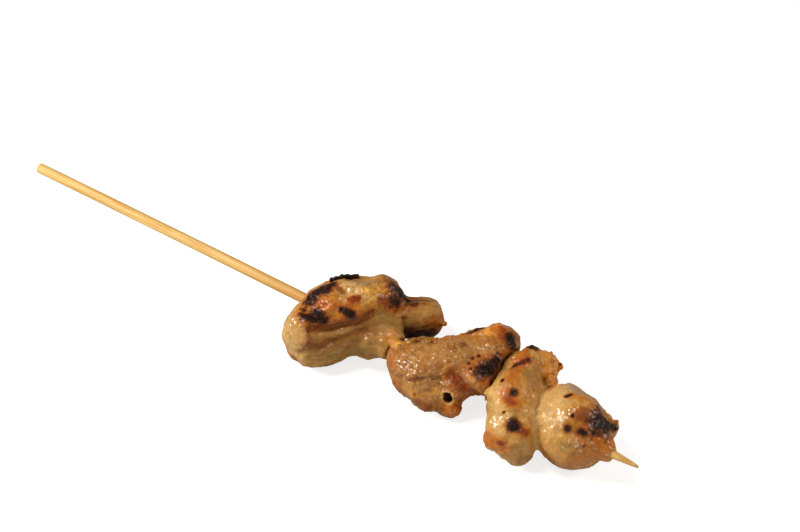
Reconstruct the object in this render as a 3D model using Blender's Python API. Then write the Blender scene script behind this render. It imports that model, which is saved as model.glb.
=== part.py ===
"""A grilled chicken kebab: three chunks of thigh meat threaded on a round bamboo skewer, lying down.

Sizes are in millimetres and the meshes are turned to metres at the very end. A place on the kebab is
given as (along, across, up): the distance from the skewer's blunt end, the distance sideways from the
skewer's line, and the height above the surface that the kebab lies on.
"""

import math

import bmesh
import bpy
from mathutils import Matrix, Vector, noise

MM = 0.001

# The skewer: a round bamboo stick with a turned point, very slightly bowed as split bamboo is.
STICK_LENGTH = 180.0
STICK_RADIUS = 1.35
STICK_HEIGHT = 10.0
STICK_BOW = 0.6
STICK_SIDES = 16
STICK_STATIONS = 14
POINT_LENGTH = 11.0
POINT_RADIUS = 0.3
POINT_STATIONS = 4
POINT_FULLNESS = 1.25
BLUNT_BEVEL = 0.25

# The meat: how finely it is worked, and how far the heat has swollen and wrinkled it.
BALL_SUBDIVISIONS = 4
VOXEL = 0.7
FOLD_SOFTENING = 7
SWELLING = 0.15
LUMP_SIZE = 7.0
LUMP_HEIGHT = 0.55
LUMP_OCTAVES = 3
PRESSED_FLAT = 0.4
TRIANGLES_PER_CHUNK = 2600

# The room between neighbours: the hole round the skewer, and the gap from chunk to chunk.
BORE_PLAY = 0.3
BORE_SIDES = 12
CHUNK_PLAY = 0.4


def clear_scene():
    for obj in list(bpy.data.objects):
        bpy.data.objects.remove(obj)


def centre_line(along):
    """Where the skewer's middle is at this distance from its blunt end."""
    share = along / STICK_LENGTH
    return Vector((along, 0.0, STICK_HEIGHT + STICK_BOW * 4 * share * (1 - share)))


def finish_material(name, colour, roughness):
    material = bpy.data.materials.new(name)
    material.use_nodes = True
    shader = material.node_tree.nodes["Principled BSDF"]
    shader.inputs["Base Color"].default_value = (*colour, 1.0)
    shader.inputs["Roughness"].default_value = roughness
    shader.inputs["Metallic"].default_value = 0.0
    return material


def add_object(name, mesh, material=None):
    obj = bpy.data.objects.new(name, mesh)
    bpy.context.scene.collection.objects.link(obj)
    if material:
        mesh.materials.clear()
        mesh.materials.append(material)
    return obj


def settle(obj):
    """Works the object's modifiers into its mesh."""
    bpy.context.view_layer.update()
    graph = bpy.context.evaluated_depsgraph_get()
    mesh = bpy.data.meshes.new_from_object(obj.evaluated_get(graph))
    mesh.name = obj.name
    obj.modifiers.clear()
    obj.data = mesh
    return obj


# ---- the skewer ---------------------------------------------------------------------------------


def rod_mesh(name, stations, sides):
    """A closed rod round the centre line. Each station is (along, radius)."""
    shape = bmesh.new()
    rings = []
    for along, radius in stations:
        middle = centre_line(along)
        ring = bmesh.ops.create_circle(
            shape,
            segments=sides,
            radius=radius,
            matrix=Matrix.Translation(middle) @ Matrix.Rotation(math.radians(90), 4, "Y"),
        )["verts"]
        rings.append(ring)
    for ring, following in zip(rings, rings[1:]):
        for i in range(sides):
            j = (i + 1) % sides
            shape.faces.new((ring[i], ring[j], following[j], following[i]))
    shape.faces.new(rings[0])
    shape.faces.new(rings[-1])
    bmesh.ops.recalc_face_normals(shape, faces=shape.faces)
    mesh = bpy.data.meshes.new(name)
    shape.to_mesh(mesh)
    shape.free()
    return mesh


def skewer_stations(play=0.0):
    """The skewer's outline as (along, radius), or the outline of a hole that clears it."""
    shaft = STICK_LENGTH - POINT_LENGTH
    stations = [(-play, STICK_RADIUS - BLUNT_BEVEL + play), (BLUNT_BEVEL, STICK_RADIUS + play)]
    for i in range(1, STICK_STATIONS + 1):
        stations.append((shaft * i / STICK_STATIONS, STICK_RADIUS + play))
    for i in range(1, POINT_STATIONS + 1):
        share = i / POINT_STATIONS
        # The point is slightly convex, as a sharpener leaves it.
        radius = POINT_RADIUS + (STICK_RADIUS - POINT_RADIUS) * (1 - share**POINT_FULLNESS)
        stations.append((shaft + (POINT_LENGTH + play) * share, radius + play))
    return stations


def make_skewer(material):
    mesh = rod_mesh("bamboo_skewer", skewer_stations(), STICK_SIDES)
    return add_object("bamboo_skewer", mesh, material)


# ---- the chunks of meat -------------------------------------------------------------------------


def lobe(place, half_sizes, heading=0.0, squareness=2.0):
    """One rounded fold of meat: its middle, its half sizes, and the way its length points.

    A squareness of 2 is a ball, and a higher one has flatter sides and rounder corners.
    """
    turn = Matrix.Rotation(math.radians(heading), 4, "Z")
    matrix = Matrix.Translation(place) @ turn @ Matrix.Diagonal((*half_sizes, 1.0))
    return matrix, squareness


def handle_chunk():
    """The chunk nearest the bare handle: a folded strip with a cut end, a top slab and a rear lobe."""
    cut_end = lobe((90.8, -7.1, 8.3), (5.4, 7.2, 8.3), heading=15, squareness=2.4)
    core = lobe((96.8, -0.5, 8.5), (11, 7.5, 7), heading=42)
    lower_fold = lobe((95.9, -7.6, 6), (8.2, 4.3, 4.7), heading=51)
    front_fold = lobe((104.5, 2.2, 7.6), (7, 6, 6.2), heading=42)
    collar = lobe((109.6, 1, 8.6), (4, 3.8, 4.6))
    top_slab = lobe((95.6, 1.8, 13.8), (10.7, 7.2, 5.4), heading=48, squareness=2.4)
    top_bulge = lobe((101.8, 9.2, 12.5), (6.1, 6, 6.1))
    rear_lobe = lobe((110, 12.7, 7.7), (6.4, 4.6, 5.2), heading=35, squareness=3)
    return [cut_end, core, lower_fold, front_fold, collar, top_slab, top_bulge, rear_lobe]


def middle_chunk():
    """The middle chunk: a slab lying aslant, with a small knob near and a raised far corner."""
    slab = lobe((125.8, 4.2, 9), (13.5, 5.8, 6), heading=57, squareness=2.6)
    near_swell = lobe((119, 0, 8.8), (8, 7, 5.9), heading=57, squareness=2.2)
    middle_swell = lobe((126, 3.8, 9), (8.3, 7, 6.3), heading=57, squareness=2.2)
    far_swell = lobe((132.4, 12.4, 9.8), (6.5, 6, 5.7), heading=57, squareness=2.2)
    foot = lobe((130.5, 9.5, 5.6), (6, 5, 6), heading=57)
    far_corner = lobe((134, 15.6, 11.5), (3.2, 3.4, 3.4))
    far_peak = lobe((130.2, 17, 12.1), (1.7, 1.7, 2))
    near_hem = lobe((125.6, -5, 5.3), (6.6, 3.4, 3.8), heading=50)
    near_corner = lobe((119.5, -4.8, 6), (4.6, 4.4, 4.4))
    knob = lobe((131, -4, 3.7), (2.7, 2.7, 2.8))
    right_side = lobe((134, 5.4, 9.3), (5.4, 5, 5), heading=57)
    collar = lobe((135.6, 1.3, 10.2), (6.4, 3.9, 3.9))
    collar_root = lobe((130.6, -1.2, 8), (4.6, 3.8, 4.2))
    swells = [slab, near_swell, middle_swell, far_swell, foot, right_side]
    corners = [far_corner, far_peak, near_hem, near_corner, knob]
    return swells + corners + [collar, collar_root]


def tip_chunk():
    """The chunk nearest the point: an upright fold with a ragged edge, and a round ball beside it."""
    fold = lobe((145.6, 2, 9.5), (13, 5.8, 6.6), heading=114, squareness=2.4)
    fold_far = lobe((142.3, 10.2, 10.5), (5, 6.7, 6))
    fold_middle = lobe((145, 1.1, 10.7), (6.3, 6.6, 6.7))
    fold_near = lobe((149.5, -6, 8.8), (6.3, 6.6, 7.6))
    fold_toes = [lobe((145.4, -6.9, 4.2), (3.3, 3.6, 3)), lobe((151.8, -7.2, 4.2), (4, 4, 2.8))]
    valley = lobe((154, 4, 6.5), (5.5, 8.5, 5.5))
    ball = lobe((161.4, 2.6, 9.5), (9.4, 9.8, 10))
    ball_shoulder = lobe((155.4, 6.6, 10.5), (5.5, 5.5, 5.5))
    ball_nub = lobe((168.4, 6.5, 11.6), (3.1, 3, 3))
    collar = lobe((170, 0.4, 10), (4.3, 2.8, 3))
    folds = [fold, fold_far, fold_middle, fold_near, *fold_toes, valley]
    return folds + [ball, ball_shoulder, ball_nub, collar] + fringe()


def fringe():
    """The ragged skin edge on the far side of the tip chunk, as a row of small teeth."""
    top, corner, foot = Vector((144.3, 17.6, 11)), Vector((147.6, 17.5, 9)), Vector((149.6, 10.6, 8.5))
    teeth = 7
    large, small = 2.1, 1.7
    folds = []
    for i in range(teeth):
        share = i / (teeth - 1)
        place = top.lerp(corner, share).lerp(corner.lerp(foot, share), share)
        size = large if i % 2 else small
        folds.append(lobe(place, (size, size, size)))
    return folds


# Each chunk is pressed against the one listed before it.
CHUNKS = {
    "chicken_tip_end": tip_chunk,
    "chicken_middle": middle_chunk,
    "chicken_handle_end": handle_chunk,
}


def rounded_box(point, squareness):
    """Moves a point of the unit ball out to the unit ball's squarer cousin."""
    size = sum(abs(c) ** squareness for c in point) ** (1 / squareness)
    return point / size


def joined_folds(name, folds):
    """All the folds of one chunk as a single closed skin."""
    shape = bmesh.new()
    for matrix, squareness in folds:
        ball = bmesh.ops.create_icosphere(shape, subdivisions=BALL_SUBDIVISIONS, radius=1.0)["verts"]
        for vertex in ball:
            vertex.co = matrix @ rounded_box(vertex.co, squareness)
    mesh = bpy.data.meshes.new(name)
    shape.to_mesh(mesh)
    shape.free()
    obj = add_object(name, mesh)
    remesh = obj.modifiers.new("one skin", "REMESH")
    remesh.mode = "VOXEL"
    remesh.voxel_size = VOXEL
    smooth = obj.modifiers.new("soft folds", "SMOOTH")
    smooth.factor = 0.5
    smooth.iterations = FOLD_SOFTENING
    return settle(obj)


def roughen(obj, seed):
    """Cooked meat is uneven: it swells and shrinks a little all over."""
    offset = Vector((seed * 17.0, seed * 5.0, seed * 11.0))
    normals = [v.normal.copy() for v in obj.data.vertices]
    for vertex, normal in zip(obj.data.vertices, normals):
        lump = noise.fractal(vertex.co / LUMP_SIZE + offset, 0.8, 2.0, LUMP_OCTAVES)
        vertex.co += normal * (LUMP_HEIGHT * lump + SWELLING)


def lay_flat(obj):
    """The meat is pressed flat where it lies on the surface."""
    shape = bmesh.new()
    shape.from_mesh(obj.data)
    cut = bmesh.ops.bisect_plane(
        shape,
        geom=shape.verts[:] + shape.edges[:] + shape.faces[:],
        plane_co=(0, 0, PRESSED_FLAT),
        plane_no=(0, 0, -1),
        clear_outer=True,
    )["geom_cut"]
    edges = [e for e in cut if isinstance(e, bmesh.types.BMEdge)]
    bmesh.ops.holes_fill(shape, edges=edges)
    bmesh.ops.recalc_face_normals(shape, faces=shape.faces)
    shape.to_mesh(obj.data)
    shape.free()


def thin_out(obj):
    decimate = obj.modifiers.new("fewer faces", "DECIMATE")
    obj.data.calc_loop_triangles()
    decimate.ratio = min(1.0, TRIANGLES_PER_CHUNK / len(obj.data.loop_triangles))
    return settle(obj)


def cut_away(obj, cutter):
    cut = obj.modifiers.new("cut", "BOOLEAN")
    cut.operation = "DIFFERENCE"
    cut.object = cutter
    return settle(obj)


def swollen(obj, play):
    """A cutter: the same chunk, larger by the play on every side."""
    cutter = add_object("neighbour", obj.data.copy())
    normals = [v.normal.copy() for v in cutter.data.vertices]
    for vertex, normal in zip(cutter.data.vertices, normals):
        vertex.co += normal * play
    return cutter


def make_chunk(name, folds, seed, neighbour):
    """A chunk that lies flat and leaves room for the chunk before it on the skewer."""
    obj = joined_folds(name, folds)
    roughen(obj, seed)
    thin_out(obj)
    if neighbour:
        cutter = swollen(neighbour, CHUNK_PLAY)
        cut_away(obj, cutter)
        bpy.data.objects.remove(cutter)
    lay_flat(obj)
    return obj


def bore_cutter():
    cutter = add_object("bore_cutter", rod_mesh("bore_cutter", skewer_stations(BORE_PLAY), BORE_SIDES))
    cutter.hide_render = True
    cutter.display_type = "WIRE"
    return cutter


def stand_on_origin(objects):
    """Turns millimetres to metres and puts the origin under the middle of the kebab's box."""
    corners = [v.co for obj in objects for v in obj.data.vertices]
    low = Vector(map(min, zip(*corners)))
    high = Vector(map(max, zip(*corners)))
    middle = (low + high) / 2
    middle.z = low.z
    for obj in objects:
        obj.data.transform(Matrix.Scale(MM, 4) @ Matrix.Translation(-middle))
        obj.data.update()


def main():
    clear_scene()
    bamboo = finish_material("bamboo", (0.76, 0.55, 0.25), 0.6)
    chicken = finish_material("grilled chicken", (0.48, 0.28, 0.12), 0.4)
    skewer = make_skewer(bamboo)
    chunks = []
    for seed, (name, folds) in enumerate(CHUNKS.items(), start=1):
        neighbour = chunks[-1] if chunks else None
        chunks.append(make_chunk(name, folds(), seed, neighbour))
    cutter = bore_cutter()
    for chunk in chunks:
        cut_away(chunk, cutter)
        chunk.data.materials.clear()
        chunk.data.materials.append(chicken)
        chunk.data.shade_smooth()
    bpy.data.objects.remove(cutter)
    stand_on_origin([skewer, *chunks])


main()
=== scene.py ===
# %% [markdown]
# # A grilled chicken kebab
#
# This lesson dresses a chicken kebab: three chunks of thigh meat on a round bamboo skewer, straight
# from the grill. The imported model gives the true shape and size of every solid. The cells below turn
# those plain solids into food: they press creases, raise wrinkles and blisters, paint the browning
# and the char where the heat reached, and give the meat its wet shine.

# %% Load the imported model
import math

import bmesh
import bpy
import numpy as np
from mathutils import Matrix, Vector, noise
from mathutils.bvhtree import BVHTree


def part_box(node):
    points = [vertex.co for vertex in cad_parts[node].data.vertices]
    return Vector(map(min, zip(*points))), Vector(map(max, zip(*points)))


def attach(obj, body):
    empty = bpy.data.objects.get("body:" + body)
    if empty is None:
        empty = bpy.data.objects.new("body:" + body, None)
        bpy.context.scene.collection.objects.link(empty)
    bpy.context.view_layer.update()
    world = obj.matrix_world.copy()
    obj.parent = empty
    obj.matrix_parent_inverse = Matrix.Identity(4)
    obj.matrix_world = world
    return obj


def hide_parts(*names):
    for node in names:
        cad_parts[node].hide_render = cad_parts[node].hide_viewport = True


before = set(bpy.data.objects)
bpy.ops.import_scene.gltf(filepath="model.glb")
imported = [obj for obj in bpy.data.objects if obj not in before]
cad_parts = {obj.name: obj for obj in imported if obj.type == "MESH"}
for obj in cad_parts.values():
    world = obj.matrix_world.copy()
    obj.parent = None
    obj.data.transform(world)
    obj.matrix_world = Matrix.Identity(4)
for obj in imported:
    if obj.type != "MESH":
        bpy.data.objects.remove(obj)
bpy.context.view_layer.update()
print("solids:", ", ".join(sorted(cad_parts)))

# %% [markdown]
# ## Places on the kebab
#
# A cook would say "halfway along the stick, on the near side, near the top". So places here are three
# numbers in millimetres: the distance along the stick from its blunt end, the distance across it, and
# the height above the table. All three are worked out from the box of the stick, which lies along X.

# %% Kebab millimetres
MM = 0.001
stick_low, stick_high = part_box("bamboo_skewer")
STICK_LENGTH = (stick_high.x - stick_low.x) / MM
STICK_RADIUS = (stick_high.y - stick_low.y) / 2 / MM
STICK_END_HEIGHT = stick_low.z / MM + STICK_RADIUS
STICK_BOW = (stick_high.z - stick_low.z) / MM - 2 * STICK_RADIUS
kebab_origin = Vector((stick_low.x, (stick_low.y + stick_high.y) / 2, 0.0))
TO_METRES = Matrix.Translation(kebab_origin) @ Matrix.Scale(MM, 4)
TO_KEBAB = TO_METRES.inverted()


def stick_height(along):
    """The height of the stick's middle line, which bows up a little between its ends."""
    share = along / STICK_LENGTH
    return STICK_END_HEIGHT + STICK_BOW * 4 * share * (1 - share)


print(f"stick {STICK_LENGTH:.0f} mm long, {2 * STICK_RADIUS:.1f} mm thick, bow {STICK_BOW:.2f} mm")

# %% [markdown]
# ## Camera
#
# Food is often shot with a long lens from well above, so that it fills the frame and nothing looks
# stretched. The camera looks down at 45 degrees, a little from the tip's side, with a 110 mm lens.
# Its place is measured from the middle of the stick.

# %% Camera
AZIMUTH, ELEVATION = math.radians(34.37), math.radians(45.0)
LENS_MM = 110.0
CAMERA_DISTANCE = 599.3
AIM_RIGHT, AIM_UP = 19.4, 10.4

towards_camera = Vector(
    (
        math.sin(AZIMUTH) * math.cos(ELEVATION),
        -math.cos(AZIMUTH) * math.cos(ELEVATION),
        math.sin(ELEVATION),
    )
)
camera_right = Vector((math.cos(AZIMUTH), math.sin(AZIMUTH), 0.0))
camera_up = towards_camera.cross(camera_right)
stick_middle = Vector((STICK_LENGTH / 2, 0.0, STICK_END_HEIGHT))


def seen_from_camera(right, up, towards):
    """A point this many millimetres right, up and towards the camera from the stick's middle."""
    return TO_METRES @ (stick_middle + camera_right * right + camera_up * up + towards_camera * towards)


lens = bpy.data.cameras.new("camera")
lens.lens = LENS_MM
camera = bpy.data.objects.new("camera", lens)
bpy.context.scene.collection.objects.link(camera)
turn = Matrix((camera_right, camera_up, towards_camera)).transposed().to_4x4()
camera.matrix_world = Matrix.Translation(seen_from_camera(AIM_RIGHT, AIM_UP, CAMERA_DISTANCE)) @ turn
bpy.context.scene.camera = camera
print("camera at", tuple(round(c, 3) for c in camera.location))

# %% [markdown]
# ## Light and table
#
# Wet food needs lights that it can mirror. One big panel overhead would light it evenly, but the shine
# would spread into a dull veil. So three lamps only 12 cm across stand at the left, above and in
# front, where they give small crisp sparks, and two larger, weaker cards lift the shade in front and
# on the right. The table looks white to the camera, but it throws only a little light back up.

# %% Colours and nodes
def colour(code):
    """A #rrggbb colour as the linear red, green, blue and alpha that Blender works with."""
    shares = [int(code[i : i + 2], 16) / 255 for i in (1, 3, 5)]
    return (*[s / 12.92 if s <= 0.04045 else ((s + 0.055) / 1.055) ** 2.4 for s in shares], 1.0)


def add_node(material, kind, inputs=(), **settings):
    """Adds a node. Inputs map a socket's name or number to a value or to another node's output."""
    made = material.node_tree.nodes.new(kind)
    for name, value in settings.items():
        setattr(made, name, value)
    for socket, value in dict(inputs).items():
        if isinstance(value, bpy.types.NodeSocket):
            material.node_tree.links.new(value, made.inputs[socket])
        else:
            made.inputs[socket].default_value = value
    return made


def empty_material(name):
    """A new material with no nodes yet."""
    material = bpy.data.materials.new(name)
    material.use_nodes = True
    material.node_tree.nodes.clear()
    return material


print("mid grey as linear light:", [round(share, 3) for share in colour("#808080")])

# %% Lamps, sky and table
MEAT_MIDDLE = Vector((130.0, 0.0, 8.0))
SKY_STRENGTH = 0.18
TABLE_GLOW = 0.78
TABLE_HALF_WIDTH = 3.0


def soft_lamp(name, place, size, power, tint):
    """A round lamp, its size in millimetres and its power in watts, aimed at the meat."""
    lamp = bpy.data.lights.new(name, "AREA")
    lamp.shape = "DISK"
    lamp.size = size * MM
    lamp.energy = power
    lamp.color = colour(tint)[:3]
    holder = bpy.data.objects.new(name, lamp)
    bpy.context.scene.collection.objects.link(holder)
    holder.location = seen_from_camera(*place)
    aim = TO_METRES @ MEAT_MIDDLE - holder.location
    holder.rotation_euler = aim.to_track_quat("-Z", "Y").to_euler()


soft_lamp("window on the left", (-430, 170, 160), 120, 1.75, "#fff8ee")
soft_lamp("sky above and behind", (-200, 360, 400), 120, 1.2, "#fffaf2")
soft_lamp("lamp on the left in front", (-310, -360, 150), 120, 1.5, "#fff4e4")
soft_lamp("white card in front", (160, -330, 300), 260, 0.8, "#fff4e4")
soft_lamp("white card on the right", (400, 130, 180), 200, 0.5, "#fff6ea")

world = bpy.data.worlds.new("studio")
world.use_nodes = True
world.node_tree.nodes["Background"].inputs["Color"].default_value = colour("#f2ece4")
world.node_tree.nodes["Background"].inputs["Strength"].default_value = SKY_STRENGTH
bpy.context.scene.world = world
bpy.context.scene.view_settings.view_transform = "Standard"

table_paint = empty_material("pale table")
seen = add_node(table_paint, "ShaderNodeLightPath").outputs["Is Camera Ray"]
table_glow = add_node(
    table_paint, "ShaderNodeMath", {0: seen, 1: TABLE_GLOW}, operation="MULTIPLY"
).outputs["Value"]
table_shader = add_node(
    table_paint,
    "ShaderNodeBsdfPrincipled",
    {
        "Base Color": colour("#bcbcbc"),
        "Roughness": 0.9,
        "Emission Color": colour("#ffffff"),
        "Emission Strength": table_glow,
    },
)
add_node(table_paint, "ShaderNodeOutputMaterial", {"Surface": table_shader.outputs["BSDF"]})

tabletop = bmesh.new()
bmesh.ops.create_grid(tabletop, x_segments=1, y_segments=1, size=TABLE_HALF_WIDTH)
table_mesh = bpy.data.meshes.new("table")
tabletop.to_mesh(table_mesh)
tabletop.free()
table_mesh.materials.append(table_paint)
table = bpy.data.objects.new("table", table_mesh)
bpy.context.scene.collection.objects.link(table)
print("lamps:", ", ".join(sorted(lamp.name for lamp in bpy.data.lights)))

# %% [markdown]
# ## Tools for shaping meat
#
# Meat could be sculpted by hand, but code that moves the points of a fine mesh can be read, changed
# and run again. Each chunk is copied from its solid, joined with a few small lumps, and remeshed into
# even little squares. Then its points are pushed in and out along their normals, first for creases
# and then for wrinkles, from large to small.

# %% Patterns over a surface
FINER_LUMPS_FADE, FINER_LUMPS_SCALE = 0.9, 2.1
RIDGE_SHARPNESS = 2.2
BUBBLE_SPREAD = 1.4


def smooth_step(start, end, values):
    """0 up to the start, 1 from the end on, and a soft curve between them."""
    share = np.clip((values - start) / (end - start), 0.0, 1.0)
    return share * share * (3 - 2 * share)


def lumpy(points, size, octaves=2, seed=0.0):
    """Random heights of about -1 to 1, in lumps of about this size in millimetres."""
    places = points / size + np.array((seed, 3.7 * seed, 1.3 * seed))
    return np.array(
        [noise.fractal(place, FINER_LUMPS_FADE, FINER_LUMPS_SCALE, octaves) for place in places]
    )


def wrinkled(points, size, seed=0.0):
    """Heights of 0 to 1 with sharp ridges, as skin draws together when it dries."""
    return 1 - np.clip(np.abs(lumpy(points, size, 2, seed)) * RIDGE_SHARPNESS, 0, 1)


def blistered(points, size, seed=0.0):
    """Heights of 0 to 1 in round bubbles, as fat leaves when it boils through a crust."""
    places = points / size + seed
    return np.array([1 - min(1.0, noise.voronoi(place)[0][0] * BUBBLE_SPREAD) for place in places])


def fibrous(points, direction, stretch=5.0):
    """The points squeezed along one direction, so that a pattern on them runs on as muscle does."""
    run = np.array(Vector(direction).normalized())
    return points - np.outer(points @ run, run) * (1 - 1 / stretch)


print("halfway up a soft step:", smooth_step(0.0, 1.0, 0.5))

# %% Distances and patches
def distance_to_line(points, corners):
    """The distance from every point to a line of straight runs, and the nearest place on the line."""
    best = np.full(len(points), 1e9)
    nearest = np.zeros_like(points)
    corners = list(corners) * 2 if len(corners) == 1 else corners
    for start, end in zip(corners, corners[1:]):
        start, run = np.array(start, float), np.array(end, float) - np.array(start, float)
        share = np.clip((points - start) @ run / max(run @ run, 1e-9), 0, 1)
        place = start + share[:, None] * run
        gap = np.linalg.norm(points - place, axis=1)
        closer = gap < best
        best[closer], nearest[closer] = gap[closer], place[closer]
    return best, nearest


def patch(points, corners, radius, soft=0.8, ragged=0.0, grain=1.4):
    """1 near a place or a line of places, fading to 0 at its edge, which may be ragged."""
    gap, _ = distance_to_line(points, corners)
    near = gap < radius * (1.2 + soft + ragged) + 0.3
    share = gap / radius
    if ragged and near.any():
        share[near] += ragged * lumpy(points[near], grain, 3, sum(corners[0]))
    return np.where(near, smooth_step(1 + soft / 2, 1 - soft / 2, share), 0.0)


on_the_edge = patch(np.array([[2.0, 0.0, 0.0]]), [(0, 0, 0)], 2.0)[0]
print("a patch is this strong on its edge:", round(float(on_the_edge), 3))

# %% Copying a chunk as a fine skin
SKIN_GRID = 0.21
SMOOTHING, SMOOTHING_PASSES = 0.5, 20


def read_vectors(mesh, name):
    """The places or normals of a mesh's points, as rows of three numbers."""
    flat = np.empty(len(mesh.vertices) * 3, dtype=np.float32)
    mesh.vertices.foreach_get(name, flat)
    return flat.reshape(-1, 3).astype(float)


def write_points(mesh, points):
    """Moves the points of a mesh to these places."""
    mesh.vertices.foreach_set("co", points.astype(np.float32).ravel())
    mesh.update()


def add_piece(name, shape):
    """A new object at the origin with this bmesh as its mesh."""
    mesh = bpy.data.meshes.new(name)
    shape.to_mesh(mesh)
    shape.free()
    obj = bpy.data.objects.new(name, mesh)
    bpy.context.scene.collection.objects.link(obj)
    return obj


def settle(obj):
    """Works the object's modifiers into its mesh."""
    graph = bpy.context.evaluated_depsgraph_get()
    mesh = bpy.data.meshes.new_from_object(obj.evaluated_get(graph))
    obj.modifiers.clear()
    obj.data = mesh


def fine_skin(name, node, lumps=()):
    """The solid of a CAD node with a few extra lumps, as one even skin of small squares."""
    shape = bmesh.new()
    shape.from_mesh(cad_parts[node].data)
    bmesh.ops.remove_doubles(shape, verts=shape.verts, dist=0.01 * MM)
    bmesh.ops.transform(shape, matrix=TO_KEBAB, verts=shape.verts)
    for place, half_sizes in lumps:
        matrix = Matrix.Translation(place) @ Matrix.Diagonal((*half_sizes, 1.0))
        bmesh.ops.create_icosphere(shape, subdivisions=3, radius=1.0, matrix=matrix)
    obj = add_piece(name, shape)
    remesh = obj.modifiers.new("even squares", "REMESH")
    remesh.mode = "VOXEL"
    remesh.voxel_size = SKIN_GRID
    smooth = obj.modifiers.new("no facets", "SMOOTH")
    smooth.factor = SMOOTHING
    smooth.iterations = SMOOTHING_PASSES
    settle(obj)
    home = read_vectors(obj.data, "co")
    print(f"{name}: {len(home)} points, {2 * len(obj.data.polygons)} triangles")
    meat = {"skin": obj, "home": home, "char": np.zeros(len(home)), "wet": np.zeros(len(home))}
    meat["colours"] = np.zeros((len(home), 3))
    return meat


print(f"every chunk gets a skin of {SKIN_GRID} mm squares")

# %% Pressing, creasing and gripping
RIM_KEPT, RIM_FADED = 0.4, 1.2
HOLE_PLAY, GRIP_DEPTH, GRIP_SPREAD = 0.3, 0.5, 1.6


def swell(meat, heights):
    """Moves each point along its normal by its own height, but no point below the table.

    The rim round the stick keeps still, so the meat goes on gripping it."""
    mesh, home = meat["skin"].data, meat["home"]
    from_stick = np.hypot(home[:, 1], home[:, 2] - stick_height(home[:, 0]))
    heights = heights * smooth_step(STICK_RADIUS + RIM_KEPT, STICK_RADIUS + RIM_FADED, from_stick)
    points = read_vectors(mesh, "co") + read_vectors(mesh, "normal") * heights[:, None]
    points[:, 2] = np.maximum(points[:, 2], 0)
    write_points(mesh, points)


def press(meat, depth, reach, *places):
    """Presses the skin in along a line of places, or raises it where the depth is negative."""
    gap, _ = distance_to_line(meat["home"], places)
    swell(meat, -depth * np.exp(-((gap / reach) ** 2)))


def crease(meat, width, depth, *places, lip=0.0, lip_side=(0, 0, 1)):
    """Presses a groove along a line of places, and may raise a lip on one side of it."""
    gap, nearest = distance_to_line(meat["home"], places)
    heights = -depth * np.exp(-((gap / width) ** 2))
    side = (meat["home"] - nearest) @ np.array(lip_side, float) / width
    heights += lip * smooth_step(0, 1, side) * np.exp(-((gap / (2.5 * width)) ** 2))
    swell(meat, heights)


def grip_stick(meat):
    """Draws the rim of the hole in until the meat grips the stick."""
    mesh = meat["skin"].data
    points = read_vectors(mesh, "co")
    from_middle = np.stack([points[:, 1], points[:, 2] - stick_height(points[:, 0])], axis=1)
    radius = np.linalg.norm(from_middle, axis=1)
    hole = STICK_RADIUS + HOLE_PLAY
    pull = GRIP_DEPTH * smooth_step(hole + GRIP_SPREAD, hole, radius)
    points[:, 1:] -= from_middle / radius[:, None] * pull[:, None]
    write_points(mesh, points)


def finish_piece(obj, node, material):
    """Brings a piece to metres, puts its material on, and lets it stand for its CAD node."""
    obj.data.transform(TO_METRES)
    obj.data.materials.clear()
    obj.data.materials.append(material)
    obj.data.shade_smooth()
    if node:
        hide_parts(node)
    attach(obj, "root")


print(f"the meat is drawn in by {GRIP_DEPTH} mm round the stick")

# %% [markdown]
# ## Painting the browning, with painted shade and light
#
# Heat paints meat in layers: pale flesh first, then gold, then red-brown, then black. The colour of
# each point is laid on in that order, as a glaze with soft or ragged edges, and kept on the mesh as
# a colour attribute. Some glazes are painted shade and light rather than browning: darker paint under
# the chunks, in creases and between the pieces, and brighter paint where folds lie in shade. Two more
# attributes say how charred and how wet each point is.

# %% Layers of colour
# Each tone is an sRGB colour in hex, as a paint chart would give it.
TONES = {
    "flesh": "#c69452",
    "honey": "#d69f50",
    "olive": "#9e7a3e",
    "cream": "#e6ba78",
    "pink": "#c2804a",
    "skin": "#ab6b2e",
    "gold": "#bd7c2c",
    "orange": "#c66c1a",
    # A bright orange, partly painted light, as if light shone through thin meat in shade.
    "glow": "#f8a645",
    "yellow": "#efae38",
    # A bright yellow for the neck by the stick: yellow fat, partly a painted highlight.
    "butter": "#ffd060",
    "brown": "#7c3d14",
    "red": "#8a340a",
    "dark": "#34190c",
}


def glaze(meat, tone, mask):
    """Lays a tone over the colours so far, as thickly as the mask says, as a stain deepens."""
    linear = np.array(colour(TONES[tone])[:3])
    meat["colours"] *= (linear / meat["colours"]) ** mask[:, None]


def brush(meat, tone, radius, *places, strength=0.8, soft=1.2, ragged=0.35):
    """Glazes one patch along a line of places."""
    grain = min(1.4, max(0.7, radius))
    glaze(meat, tone, strength * patch(meat["home"], places, radius, soft, ragged, grain))


def burn(meat, radius, *places, halo=0.7, ragged=0.5):
    """Chars a patch, with rings of orange and brown round it where the meat only scorched.

    Small burnt dots keep a crisp edge, and larger patches fray."""
    brush(meat, "orange", radius + 1.7 * halo, *places, strength=0.5, soft=1.6, ragged=ragged)
    brush(meat, "brown", radius + 0.9 * halo, *places, strength=0.8, ragged=ragged)
    brush(meat, "dark", radius + 0.35 * halo, *places, strength=0.8, ragged=ragged)
    soft, grain = (0.35, 0.7) if ragged < 0.4 else (1.1, 1.2)
    spot = patch(meat["home"], places, radius, soft, ragged, grain)
    meat["char"] = np.maximum(meat["char"], spot)


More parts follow.
